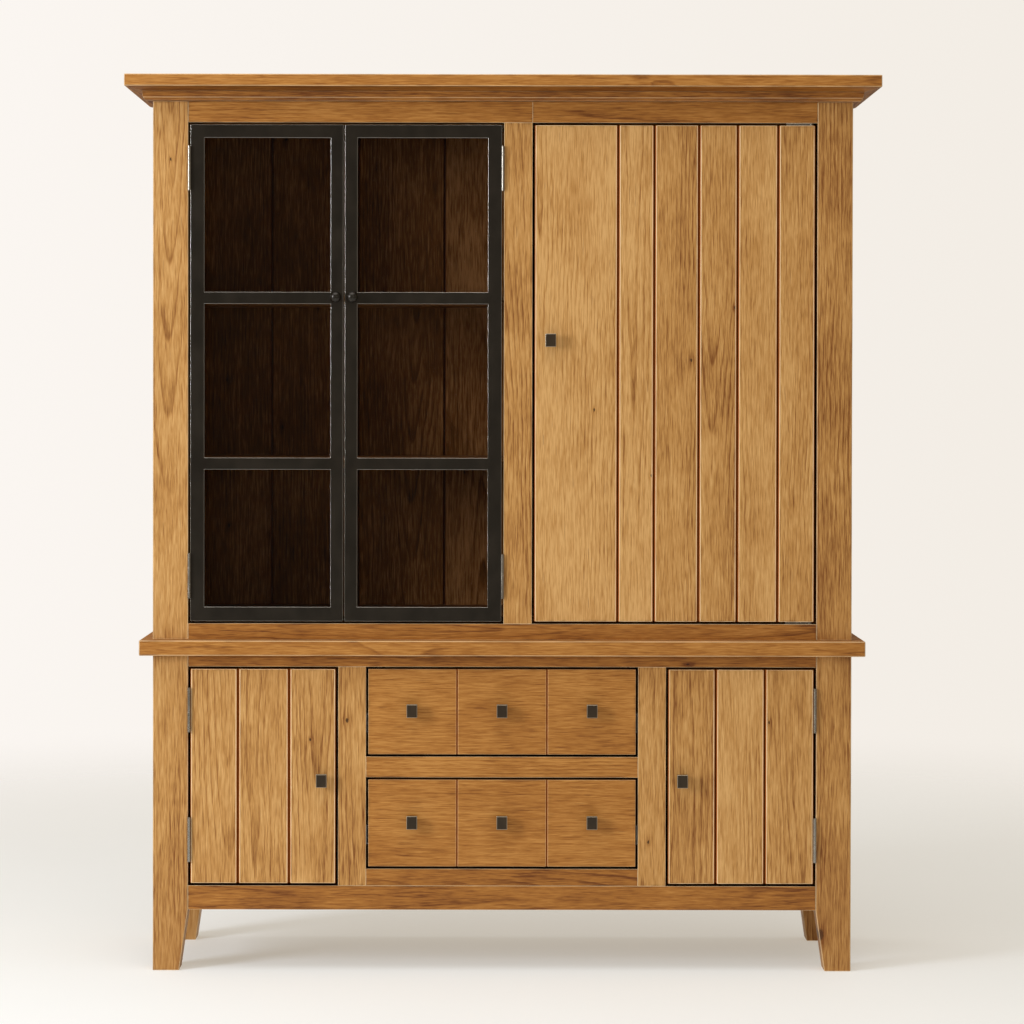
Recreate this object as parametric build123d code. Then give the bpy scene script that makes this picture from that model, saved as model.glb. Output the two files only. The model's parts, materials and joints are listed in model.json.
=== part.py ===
from build123d import *
import os

# A two-piece pantry cabinet: a hutch with a pair of glazed steel doors and one plank door,
# standing on a base with two plank doors and two drawers.
# Millimetres. +Z is up, the front faces -Y, and the origin is at the middle of the footprint.

# Driving dimensions: the whole cabinet
BODY_W = 1680  # both carcasses, across the front
BODY_D = 460  # both carcasses, front to back
TOTAL_H = 2149
CROWN_OUT = 62  # the crown's reach past the body at the front and sides
WAIST_OUT = 30  # the waist board's reach past the body at the front and sides
OUTER_STILE = 85  # width of the stiles and posts at the cabinet's ends

# Driving dimensions: heights above the floor
RAIL_Z = 147  # underside of the base's bottom rail, where the legs begin
BASE_OPEN_Z = (205, 732)  # base door openings
LOWER_DRAWER_Z = (246, 466)
UPPER_DRAWER_Z = (516, 732)
WAIST_Z = (760, 797)
HUTCH_OPEN_Z = (836, 2039)  # hutch door openings
CROWN_Z = 2090  # underside of the crown
BEVEL_Z = 2112  # underside of the crown's bevelled strip
CAP_Z = 2120  # underside of the crown's cap board

# Driving dimensions: the front's divisions across X
GLASS_BAY_X = (-755, 3)
PANTRY_BAY_X = (71, 755)
DRAWER_HALF = 327  # half the width of the drawer openings
BASE_STILE = 67  # stiles beside the drawers

# The crown's bed moulding: its reach past the body at its foot, above its bead and at its top
BED_OUT = (16, 22, 24)
BED_BEAD_H = 7
CAP_LIP = 2  # the cap's reach past the bevelled strip

# Stock sizes
FRAME_T = 27  # face frame
PANEL_T = 18  # floors, roof and base shelves
SIDE_T = 20  # side frames and partitions
SHELF_T = 22  # hutch shelves
PLANK_T = 22  # door planks and drawer fronts
BATTEN_T = 18
BACK_T = 12
POST_D = 60
FOOT_W = 64  # a leg's width at the floor
SIDE_PANEL_T = 10
PANEL_RECESS = 6
BASE_SIDE_RAILS = (90, 70)  # heights of the rails between the posts, low and high
HUTCH_SIDE_RAILS = (100, 80)
GAP = 5.5  # clearance round every door and drawer front
PLAY = 1  # clearance round a loose shelf
CHAMFER = 2.4  # on the long edges of planks
GROOVE = 1.6  # half the slot between planks, behind their chamfers
SLOT_CLOSES = 0.6  # the depth where that slot ends, as a share of the planks' thickness

# Set-backs inside the carcasses
BACK_RECESS = 8  # the back boards, inside the carcasses' back edges
BASE_SILL = 12  # a floor's top, above the lower edge of its opening
HUTCH_SILL = 15
SHELF_SETBACK = 46  # shelves' front edges, behind the front
PIN_IN = (55, 40)  # shelf pins, from the front and from the back

# Steel door bars
STEEL_D = 25
FLANGE_D = 12  # front part of a bar, which the glass lies behind
REBATE = 7
HINGE_BAR = 33
MEETING_BAR = 30
TOP_BAR = 31
BOTTOM_BAR = 34
MUNTIN = 28
MUNTIN_Z = (1220, 1618)  # centres
GLASS_T = 4
GLASS_PLAY = 0.5
BEAD = 6

# Hinges
HINGE_L = 104
BARREL_R = 4
PIN_R = 2.5
PIN_PLAY = 0.05
LEAF_T = 1.8
KNUCKLES = 5
KNUCKLE_PLAY = 0.3
KNUCKLE_WEB = 1.2  # a leaf's reach in front of the face, into its knuckles
PIN_CAP_T = 1.5
PIVOT_IN = 10  # the plank door's pivot, from its edge
PIVOT_BACK = 8  # and behind its face
PIVOT_R = 3
PIVOT_END_PLAY = 0.1
PIVOT_BAR = (60, 6)  # a pivot leaf's length from the pivot and half its width

# Knobs and small fittings
SHELF_PIN = (2.5, 12)  # radius and length
SHELF_PIN_COLLAR = (4.5, 0.9)
KNOB_OUT = 28
SQUARE_KNOB = (26, 13, 32)
SQUARE_KNOB_EASE = 1.6
KNOB_NECK_R = 7
ROUND_KNOB_R = 13.5
ROUND_KNOB_ROSE = (9, 2.5, 2)  # radius, thickness and the height of the slope above it
ROUND_KNOB_NECK_R = 6
ROUND_KNOB_SWELL = (11.2, 7, 4.4, 9)  # radius half-way, neck's end and half-way behind the rim, dome
ROUND_KNOB_Z = 1620
DRAWER_KNOB_X = (-216, 0, 216)
DRAWER_KNOB_LIFT = 4  # above the middle of the drawer front
PLANK_DOOR_KNOB = (115, 1517)
BASE_DOOR_KNOB = (433, 460)
CATCH = (36, 14, 12)
CATCH_IN = 20  # a catch's place, from the opening's side
CATCH_APART = 6  # a glass door's catch, from the middle of the pair
CATCH_PLAY = 0.4  # between a catch and the closed door
STRIKE_T = 1.6
STOP_REACH = 17  # a door stop's reach below the top of its opening
PLANK_DOOR_STOP_X = 690  # where the stop ends, short of the pivot

# Partition, shelves and back boards
PARTITION_X = (27, 47)
GLASS_SHELF_Z = (1210, 1608)  # undersides
PANTRY_SHELF_Z = (1138, 1443, 1748)
BASE_SHELF_Z = 462
BACK_BOARDS = 8  # behind each carcass
FIRST_BACK_JOINT = -586.8  # the leftmost joint of the hutch's back boards
BACK_PITCH = 220  # from joint to joint

# Door boards
PLANK_JOINTS = (277, 364, 471, 564, 661)
BASE_JOINTS = {"left": (-635, -512), "right": (514, 632)}
PLANK_DOOR_BATTENS = ((900, 990), (1392, 1482), (1884, 1974))
BASE_DOOR_BATTENS = ((240, 300), (628, 688))
BATTEN_IN = 14  # a batten's end, from the door's edge
BATTEN_CLEAR = 40  # the same at the pivot side, where the door swings past its jamb
BATTEN_EASE = 5
MEETING_X = (-383, -379)  # the glass doors' meeting edges
ROUND_KNOB_X = (-400.5, -360.5)
HUTCH_HINGE_Z = (950, 1929)
BASE_HINGE_Z = (316, 628)

# Drawer boxes and slides
BOX_WALL = 12
BOX_SIDE_GAP = 13  # between the box and the opening, each side, for the slides
BOX_D = 390
BOX_Z = (12, 182)  # from the drawer front's lower edge
BOX_BOTTOM_Z = (8, 14)  # from the box's lower edge
SLIDE_Z = 60  # the slide's middle, from the box's lower edge
RUNNER_Y = (32, 410)  # from the front
RUNNER_T = 8
RUNNER_HALF = 18
CHANNEL_Y = (30, 430)
CHANNEL_HALF = 22.5
CHANNEL_WALL = 1.5
CHANNEL_D = 10.5
V_GROOVE = (108, 2.3, 0.4, 5)  # a drawer front's grooves: place, half widths at face and root, depth

# Worked-out places
HALF_W = BODY_W / 2
FRONT = CROWN_OUT - (BODY_D + CROWN_OUT) / 2
BACK = FRONT + BODY_D
BEHIND = FRONT + FRAME_T  # the back of the face frame
BACK_IN = BACK - BACK_RECESS - BACK_T  # the front of the back boards
OPEN_X = HALF_W - OUTER_STILE  # the inner edge of the outer stiles
WALL_X = HALF_W - SIDE_T  # the inside of the side frames
BASE_FLOOR_Z = BASE_OPEN_Z[0] + BASE_SILL
HUTCH_FLOOR_Z = HUTCH_OPEN_Z[0] + HUTCH_SILL
ROOF_Z = CROWN_Z - PANEL_T
BASE_STILE_X = (DRAWER_HALF, DRAWER_HALF + BASE_STILE)
SHELF_FRONT = FRONT + SHELF_SETBACK
PIN_Y = (FRONT + PIN_IN[0], BACK - PIN_IN[1])
SIDES = {"left": -1, "right": 1}

nodes = {}


def node(name, *solids):
    """Files solids, in lists or singly, under a node's name."""
    flat = [s for item in solids for s in (item if isinstance(item, list) else [item])]
    nodes[name] = nodes.get(name, []) + flat


def board(x0, x1, y0, y1, z0, z1):
    """A square-edged board between two corners, given in any order."""
    middle = Pos((x0 + x1) / 2, (y0 + y1) / 2, (z0 + z1) / 2)
    return middle * Box(abs(x1 - x0), abs(y1 - y0), abs(z1 - z0))


def prism_z(outline, z0, z1):
    """A prism on an outline in X and Y."""
    return extrude(Plane.XY.offset(z0) * Polygon(*outline, align=None), z1 - z0, dir=(0, 0, 1))


def prism_x(outline, x0, x1):
    """A prism on an outline in Y and Z."""
    plane = Plane(origin=(x0, 0, 0), x_dir=(0, 1, 0), z_dir=(1, 0, 0))
    return extrude(plane * Polygon(*outline, align=None), x1 - x0, dir=(1, 0, 0))


def prism_y(outline, y0, y1):
    """A prism on an outline in X and Z."""
    plane = Plane(origin=(0, y0, 0), x_dir=(1, 0, 0), z_dir=(0, -1, 0))
    return extrude(plane * Polygon(*outline, align=None), y1 - y0, dir=(0, 1, 0))


def plank_edge(x, inward, jointed, y0, thickness):
    """The outline of a plank's long edge, from its face to its back, with half a joint's slot."""
    slot = GROOVE if jointed else 0
    edge = [(x + inward * (slot + CHAMFER), y0), (x + inward * slot, y0 + CHAMFER)]
    if jointed:
        edge.append((x, y0 + thickness * SLOT_CLOSES))
    edge.append((x, y0 + thickness))
    return edge


def planks(x0, widths, y0, thickness, z0, z1):
    """Upright boards side by side. Each joint is a V, then a slot that closes before the back."""
    made = []
    left = x0
    for i, width in enumerate(widths):
        right = left + width
        left_edge = plank_edge(left, 1, i > 0, y0, thickness)
        right_edge = plank_edge(right, -1, i < len(widths) - 1, y0, thickness)
        made.append(prism_z(right_edge + left_edge[::-1], z0, z1))
        left = right
    return made


def board_widths(x0, x1, joints):
    """The widths of boards that run from x0 to x1 and meet at the given joints."""
    edges = [x0, *joints, x1]
    return [b - a for a, b in zip(edges, edges[1:])]


def shelf_pins(x_wall, inward, under_z):
    """Two pins that carry a shelf's end, standing out of a wall."""
    shank_r, shank_l = SHELF_PIN
    collar_r, collar_l = SHELF_PIN_COLLAR
    standing = (Align.CENTER, Align.CENTER, Align.MIN)
    made = []
    for y in PIN_Y:
        at = Pos(x_wall, y, under_z - shank_r) * Rot(0, 90 * inward, 0)
        shank = at * Cylinder(shank_r, shank_l, align=standing)
        collar = at * Cylinder(collar_r, collar_l, align=standing)
        made.append(shank + collar)
    return made


# Base carcass


def post(side, y0):
    """A corner post that runs down into a leg, tapered on its inner side."""
    outline = [
        (side * HALF_W, 0),
        (side * (HALF_W - FOOT_W), 0),
        (side * OPEN_X, RAIL_Z),
        (side * OPEN_X, WAIST_Z[0]),
        (side * HALF_W, WAIST_Z[0]),
    ]
    return prism_y(outline, y0, y0 + POST_D)


def clear_of_posts(panel, play):
    """Notches a panel round the four corner posts."""
    for side in SIDES.values():
        for y0 in (FRONT, BACK - POST_D):
            inner = side * (OPEN_X - play)
            panel -= board(side * HALF_W, inner, y0 - play, y0 + POST_D + play, 0, WAIST_Z[0])
    return panel


def make_base():
    top = WAIST_Z[0]
    low, high = BASE_OPEN_Z
    node("base_front_posts", [post(side, FRONT) for side in SIDES.values()])
    node("base_back_posts", [post(side, BACK - POST_D) for side in SIDES.values()])
    node("base_bottom_rail", board(-OPEN_X, OPEN_X, FRONT, BEHIND, RAIL_Z, low))
    node("base_top_rail", board(-OPEN_X, OPEN_X, FRONT, BEHIND, high, top))
    for z0, z1 in ((low, LOWER_DRAWER_Z[0]), (LOWER_DRAWER_Z[1], UPPER_DRAWER_Z[0])):
        node("base_drawer_rails", board(-DRAWER_HALF, DRAWER_HALF, FRONT, BEHIND, z0, z1))
    for side in SIDES.values():
        inner, outer = (side * x for x in BASE_STILE_X)
        node("base_middle_stiles", board(inner, outer, FRONT, BEHIND, low, high))
        rail_y = (FRONT + POST_D, BACK - POST_D)
        panel_z = (RAIL_Z + BASE_SIDE_RAILS[0], top - BASE_SIDE_RAILS[1])
        for z0, z1 in ((RAIL_Z, panel_z[0]), (panel_z[1], top)):
            node("base_side_rails", board(side * HALF_W, side * WALL_X, *rail_y, z0, z1))
        panel_x = HALF_W - PANEL_RECESS
        panel = board(side * panel_x, side * (panel_x - SIDE_PANEL_T), *rail_y, *panel_z)
        node("base_side_panels", panel)
        inner = side * DRAWER_HALF
        wall = board(inner, inner + side * SIDE_T, BEHIND, BACK_IN, BASE_FLOOR_Z, top)
        node("base_partitions", wall)
        shelf = board(
            side * (WALL_X - PLAY),
            side * (DRAWER_HALF + SIDE_T + PLAY),
            SHELF_FRONT,
            BACK_IN - PLAY,
            BASE_SHELF_Z,
            BASE_SHELF_Z + PANEL_T,
        )
        node("base_shelves", clear_of_posts(shelf, PLAY))
        node("shelf_pins", shelf_pins(side * OPEN_X, -side, BASE_SHELF_Z))
        node("shelf_pins", shelf_pins(side * (DRAWER_HALF + SIDE_T), side, BASE_SHELF_Z))
    for z0, z1 in ((RAIL_Z, low), (high, top)):
        node("base_back_rails", board(-OPEN_X, OPEN_X, BACK_IN, BACK, z0, z1))
    back = [2 * OPEN_X / BACK_BOARDS] * BACK_BOARDS
    node("base_back_boards", planks(-OPEN_X, back, BACK_IN, BACK_T, low, high))
    floor = board(-WALL_X, WALL_X, BEHIND, BACK_IN, BASE_FLOOR_Z - PANEL_T, BASE_FLOOR_Z)
    node("base_floor_panel", clear_of_posts(floor, 0))


# Waist board and crown


def make_waist_and_crown():
    out = HALF_W + WAIST_OUT
    node("waist_top", board(-out, out, FRONT - WAIST_OUT, BACK, *WAIST_Z))
    out = HALF_W + CROWN_OUT
    node("crown_cap", board(-out, out, FRONT - CROWN_OUT, BACK, CAP_Z, TOTAL_H))

    bed_back = -FRAME_T
    foot, bead, crest = BED_OUT
    bed = [
        (bed_back, CROWN_Z),
        (foot, CROWN_Z),
        (bead, CROWN_Z + BED_BEAD_H),
        (crest, BEVEL_Z),
        (bed_back, BEVEL_Z),
    ]
    lip = CROWN_OUT - CAP_LIP
    bevel = [(bed_back, BEVEL_Z), (crest, BEVEL_Z), (lip, CAP_Z), (bed_back, CAP_Z)]
    reach = CROWN_OUT + FRAME_T
    for profile in (bed, bevel):
        length = prism_x([(FRONT - o, z) for o, z in profile], -HALF_W - reach, HALF_W + reach)
        mitre = [
            (-HALF_W - reach, FRONT - reach),
            (HALF_W + reach, FRONT - reach),
            (HALF_W - FRAME_T, FRONT + FRAME_T),
            (-HALF_W + FRAME_T, FRONT + FRAME_T),
        ]
        node("crown_mouldings", length & prism_z(mitre, CROWN_Z, CAP_Z))
        for side in SIDES.values():
            outline = [(side * (HALF_W + o), z) for o, z in profile]
            length = prism_y(outline, FRONT - reach, BACK)
            mitre = [
                (side * (HALF_W + reach), FRONT - reach),
                (side * (HALF_W - FRAME_T), FRONT + FRAME_T),
                (side * (HALF_W - FRAME_T), BACK),
                (side * (HALF_W + reach), BACK),
            ]
            node("crown_mouldings", length & prism_z(mitre, CROWN_Z, CAP_Z))
    inside = HALF_W - FRAME_T
    node("crown_mouldings", board(-inside, inside, BACK_IN, BACK, CROWN_Z, CAP_Z))


# Hutch carcass


def make_hutch():
    low, high = HUTCH_OPEN_Z
    foot = WAIST_Z[1]
    mid_l, mid_r = GLASS_BAY_X[1], PANTRY_BAY_X[0]
    for side in SIDES.values():
        outer = side * HALF_W
        node("hutch_outer_stiles", board(outer, side * OPEN_X, FRONT, BEHIND, foot, CROWN_Z))
        wall = (outer, side * WALL_X)
        front_y = (BEHIND, BEHIND + POST_D)
        back_y = (BACK - POST_D, BACK)
        between = (front_y[1], back_y[0])
        node("hutch_side_frames", board(*wall, *front_y, foot, CROWN_Z))
        node("hutch_side_frames", board(*wall, *back_y, foot, CROWN_Z))
        panel_z = (foot + HUTCH_SIDE_RAILS[0], CROWN_Z - HUTCH_SIDE_RAILS[1])
        node("hutch_side_frames", board(*wall, *between, foot, panel_z[0]))
        node("hutch_side_frames", board(*wall, *between, panel_z[1], CROWN_Z))
        panel_x = HALF_W - PANEL_RECESS
        panel = board(side * panel_x, side * (panel_x - SIDE_PANEL_T), *between, *panel_z)
        node("hutch_side_panels", panel)
    node("hutch_middle_stile", board(mid_l, mid_r, FRONT, BEHIND, low, high))
    node("hutch_bottom_rail", board(-OPEN_X, OPEN_X, FRONT, BEHIND, foot, low))
    node("hutch_top_rail", board(-OPEN_X, mid_r, FRONT, BEHIND, high, CROWN_Z))
    node("hutch_top_rail", board(mid_r, OPEN_X, FRONT, BEHIND, high, CROWN_Z))
    node("hutch_partition", board(*PARTITION_X, BEHIND, BACK_IN, HUTCH_FLOOR_Z, ROOF_Z))
    for z in (HUTCH_FLOOR_Z - PANEL_T, ROOF_Z):
        node("hutch_floor_and_roof", board(-WALL_X, WALL_X, BEHIND, BACK_IN, z, z + PANEL_T))

    joints = [FIRST_BACK_JOINT + BACK_PITCH * i for i in range(BACK_BOARDS - 1)]
    back = board_widths(-WALL_X, WALL_X, joints)
    node("hutch_back_boards", planks(-WALL_X, back, BACK_IN, BACK_T, foot, CROWN_Z))

    bays = [
        (GLASS_SHELF_Z, -WALL_X, PARTITION_X[0]),
        (PANTRY_SHELF_Z, PARTITION_X[1], WALL_X),
    ]
    for heights, x0, x1 in bays:
        for z in heights:
            depth = (SHELF_FRONT, BACK_IN - PLAY)
            node("hutch_shelves", board(x0 + PLAY, x1 - PLAY, *depth, z, z + SHELF_T))
            node("shelf_pins", shelf_pins(x0, 1, z), shelf_pins(x1, -1, z))


# Stops and catches that the doors close against


def catch(x0, top_z, door_back):
    """A magnetic catch hung under a door stop, its face just behind the door."""
    width, depth, height = CATCH
    y0 = door_back + CATCH_PLAY
    return board(x0, x0 + width, y0, y0 + depth, top_z - height, top_z)


def make_stops():
    depth = (BEHIND, BEHIND + PANEL_T)
    hutch_stop_z = HUTCH_OPEN_Z[1] - STOP_REACH
    base_stop_z = BASE_OPEN_Z[1] - STOP_REACH
    node("door_stops", board(*GLASS_BAY_X, *depth, hutch_stop_z, ROOF_Z))
    pantry_stop_x = (PANTRY_BAY_X[0], PLANK_DOOR_STOP_X)
    node("door_stops", board(*pantry_stop_x, *depth, hutch_stop_z, ROOF_Z))
    for side in SIDES.values():
        inner = side * (DRAWER_HALF + SIDE_T)
        node("door_stops", board(side * OPEN_X, inner, *depth, base_stop_z, WAIST_Z[0]))
    meeting = sum(MEETING_X) / 2
    steel_back = FRONT + STEEL_D
    plank_back = FRONT + PLANK_T + STRIKE_T
    for x0 in (meeting - CATCH_APART - CATCH[0], meeting + CATCH_APART):
        node("door_catches", catch(x0, hutch_stop_z, steel_back))
    node("door_catches", catch(PANTRY_BAY_X[0] + CATCH_IN, hutch_stop_z, plank_back))
    for x0 in (-BASE_STILE_X[1] - CATCH_IN - CATCH[0], BASE_STILE_X[1] + CATCH_IN):
        node("door_catches", catch(x0, base_stop_z, plank_back))


def strike(x0, top_z):
    """The steel plate on a plank door that its catch holds."""
    y0 = FRONT + PLANK_T
    return board(x0, x0 + CATCH[0], y0, y0 + STRIKE_T, top_z - CATCH[2], top_z)


# Hinges


def hinge_leaf(x_face, toward, mid_z, fixed):
    """A butt hinge leaf screwed to the face at x_face, with its share of the knuckles."""
    z0 = mid_z - HINGE_L / 2
    axis_x = x_face + toward * GAP / 2
    axis_y = FRONT - BARREL_R
    inner = x_face + toward * LEAF_T
    leaf = board(x_face, inner, FRONT, FRONT + PLANK_T, z0, z0 + HINGE_L)
    step = HINGE_L / KNUCKLES
    for i in range(0 if fixed else 1, KNUCKLES, 2):
        low = z0 + i * step + KNUCKLE_PLAY / 2
        high = low + step - KNUCKLE_PLAY
        at = Pos(axis_x, axis_y, (low + high) / 2)
        leaf += board(x_face, inner, FRONT - KNUCKLE_WEB, FRONT, low, high)
        leaf += at * Cylinder(BARREL_R, high - low)
    bore = Pos(axis_x, axis_y, mid_z) * Cylinder(PIN_R + PIN_PLAY, HINGE_L + BARREL_R)
    return leaf - bore


def hinge_pin(axis_x, mid_z):
    """A hinge pin with a flat cap at each end."""
    at = Pos(axis_x, FRONT - BARREL_R, mid_z)
    pin = at * Cylinder(PIN_R, HINGE_L)
    for end in (-1, 1):
        cap_z = end * (HINGE_L + PIN_CAP_T) / 2
        pin += at * Pos(0, 0, cap_z) * Cylinder(BARREL_R, PIN_CAP_T)
    return pin


def hang(door, frame_x, door_x, heights):
    """Hangs a door on butt hinges: leaves on the frame and on the door, and pins."""
    toward = 1 if door_x > frame_x else -1
    for z in heights:
        node("hinge_frame_leaves", hinge_leaf(frame_x, toward, z, True))
        node(door + "_fittings", hinge_leaf(door_x, -toward, z, False))
        node("hinge_pins", hinge_pin((frame_x + door_x) / 2, z))


def pivot_leaf(axis_x, z0):
    """A flat pivot hinge leaf, round at its pivot, with a bored eye."""
    length, half = PIVOT_BAR
    axis_y = FRONT + PIVOT_BACK
    leaf = board(axis_x - length, axis_x, axis_y - half, axis_y + half, z0, z0 + LEAF_T)
    eye = Pos(axis_x, axis_y, z0 + LEAF_T / 2)
    leaf += eye * Cylinder(half, LEAF_T)
    return leaf - eye * Cylinder(PIVOT_R + PIN_PLAY, LEAF_T * 2)


# Knobs


def square_knob(x, z):
    """A block knob with eased edges on a round neck."""
    width, depth, height = SQUARE_KNOB
    head = Pos(x, FRONT - KNOB_OUT + depth / 2, z) * Box(width, depth, height)
    head = fillet(head.edges(), SQUARE_KNOB_EASE)
    neck_l = KNOB_OUT - depth
    neck = Pos(x, FRONT - neck_l / 2, z) * Rot(90, 0, 0) * Cylinder(KNOB_NECK_R, neck_l)
    return head + neck


def round_knob(x, z):
    """A turned mushroom knob on a small rose."""
    rose_r, rose_t, slope = ROUND_KNOB_ROSE
    half_way_r, neck_end, half_way, dome = ROUND_KNOB_SWELL
    neck_r = ROUND_KNOB_NECK_R
    rim_y = dome - KNOB_OUT
    neck_y = rim_y + neck_end
    edge = Polyline((0, 0), (rose_r, 0), (rose_r, -rose_t), (neck_r, -rose_t - slope), (neck_r, neck_y))
    swell = ThreePointArc((neck_r, neck_y), (half_way_r, rim_y + half_way), (ROUND_KNOB_R, rim_y))
    crown = TangentArc((0, -KNOB_OUT), (ROUND_KNOB_R, rim_y), tangent=(1, 0))
    axis = Line((0, -KNOB_OUT), (0, 0))
    profile = make_face(edge + swell + crown + axis)
    return Pos(x, FRONT, z) * revolve(profile, Axis.Y)


# Doors


def steel_door(name, x_hinge, x_meeting, knob_x):
    """A steel door: rebated bars, two muntins, a pane behind them and its glazing beads."""
    z0, z1 = HUTCH_OPEN_Z[0] + GAP, HUTCH_OPEN_Z[1] - GAP
    inward = 1 if x_meeting > x_hinge else -1
    flange_y = (FRONT, FRONT + FLANGE_D)
    leg_y = (FRONT + FLANGE_D, FRONT + STEEL_D)
    a = x_hinge + inward * HINGE_BAR
    b = x_meeting - inward * MEETING_BAR
    a_leg = a - inward * REBATE
    b_leg = b + inward * REBATE
    low, high = z0 + BOTTOM_BAR, z1 - TOP_BAR
    low_leg, high_leg = low - REBATE, high + REBATE
    for outer, flange, leg in ((x_hinge, a, a_leg), (x_meeting, b, b_leg)):
        bar = board(outer, flange, *flange_y, z0, z1) + board(outer, leg, *leg_y, z0, z1)
        node(name + "_frame", bar)
    for outer, flange, leg in ((z0, low, low_leg), (z1, high, high_leg)):
        bar = board(a, b, *flange_y, outer, flange) + board(a_leg, b_leg, *leg_y, outer, leg)
        node(name + "_frame", bar)
    for mid in MUNTIN_Z:
        node(name + "_frame", board(a, b, *flange_y, mid - MUNTIN / 2, mid + MUNTIN / 2))

    glass_a = a_leg + inward * GLASS_PLAY
    glass_b = b_leg - inward * GLASS_PLAY
    glass_z = (low_leg + GLASS_PLAY, high_leg - GLASS_PLAY)
    pane_y = (FRONT + FLANGE_D, FRONT + FLANGE_D + GLASS_T)
    node(name + "_pane", board(glass_a, glass_b, *pane_y, *glass_z))
    bead_y = (pane_y[1], FRONT + STEEL_D)
    for edge, step in ((a_leg, inward * BEAD), (b_leg, -inward * BEAD)):
        node(name + "_frame", board(edge, edge + step, *bead_y, low_leg, high_leg))
    bead_x = (a_leg + inward * BEAD, b_leg - inward * BEAD)
    for edge, step in ((low_leg, BEAD), (high_leg, -BEAD)):
        node(name + "_frame", board(*bead_x, *bead_y, edge, edge + step))
    node(name + "_knob", round_knob(knob_x, ROUND_KNOB_Z))
    hang(name, x_hinge - inward * GAP, x_hinge, HUTCH_HINGE_Z)


def plank_door(name, x0, joints, x1, opening_z, batten_z, batten_x):
    """A ledged door: upright planks on crosswise battens with eased ends."""
    z0, z1 = opening_z[0] + GAP, opening_z[1] - GAP
    node(name + "_planks", planks(x0, board_widths(x0, x1, joints), FRONT, PLANK_T, z0, z1))
    y0 = FRONT + PLANK_T
    y1 = y0 + BATTEN_T
    for low, high in batten_z:
        outline = [
            (batten_x[0], y0),
            (batten_x[1], y0),
            (batten_x[1], y1 - BATTEN_EASE),
            (batten_x[1] - BATTEN_EASE, y1),
            (batten_x[0] + BATTEN_EASE, y1),
            (batten_x[0], y1 - BATTEN_EASE),
        ]
        node(name + "_battens", prism_z(outline, low, high))


def make_doors():
    steel_door("glass_door_left", GLASS_BAY_X[0] + GAP, MEETING_X[0], ROUND_KNOB_X[0])
    steel_door("glass_door_right", GLASS_BAY_X[1] - GAP, MEETING_X[1], ROUND_KNOB_X[1])

    x0, x1 = PANTRY_BAY_X[0] + GAP, PANTRY_BAY_X[1] - GAP
    batten_x = (x0 + BATTEN_IN, x1 - BATTEN_CLEAR)
    plank_door(
        "plank_door", x0, PLANK_JOINTS, x1, HUTCH_OPEN_Z, PLANK_DOOR_BATTENS, batten_x
    )
    node("plank_door_knob", square_knob(*PLANK_DOOR_KNOB))
    pivot_x = x1 - PIVOT_IN
    low, high = HUTCH_OPEN_Z
    for z in (low, high - LEAF_T):
        node("hinge_frame_leaves", pivot_leaf(pivot_x, z))
    for z in (low + GAP - LEAF_T, high - GAP):
        node("plank_door_fittings", pivot_leaf(pivot_x, z))
    for z in (low + GAP / 2, high - GAP / 2):
        at = Pos(pivot_x, FRONT + PIVOT_BACK, z)
        node("hinge_pins", at * Cylinder(PIVOT_R, GAP - 2 * PIVOT_END_PLAY))
    node("plank_door_fittings", strike(PANTRY_BAY_X[0] + CATCH_IN, high - STOP_REACH))

    outer, inner = OPEN_X - GAP, BASE_STILE_X[1] + GAP
    for name, side in SIDES.items():
        door = "base_door_" + name
        x0, x1 = sorted((side * outer, side * inner))
        batten_x = (x0 + BATTEN_IN, x1 - BATTEN_IN)
        plank_door(
            door, x0, BASE_JOINTS[name], x1, BASE_OPEN_Z, BASE_DOOR_BATTENS, batten_x
        )
        knob_x, knob_z = BASE_DOOR_KNOB
        node(door + "_knob", square_knob(side * knob_x, knob_z))
        hang(door, side * OPEN_X, side * outer, BASE_HINGE_Z)
        strike_x = side * (BASE_STILE_X[1] + CATCH_IN)
        x_left = strike_x if side > 0 else strike_x - CATCH[0]
        node(door + "_fittings", strike(x_left, BASE_OPEN_Z[1] - STOP_REACH))


# Drawers


def channel(x_wall, inward, mid_z):
    """The fixed half of a drawer slide: a channel, open towards the drawer."""
    y = [FRONT + along for along in CHANNEL_Y]
    web_z = (mid_z - CHANNEL_HALF, mid_z + CHANNEL_HALF)
    made = board(x_wall, x_wall + inward * CHANNEL_WALL, *y, *web_z)
    for lip, z in zip((-1, 1), web_z):
        made += board(x_wall, x_wall + inward * CHANNEL_D, *y, z - lip * CHANNEL_WALL, z)
    return made


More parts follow.
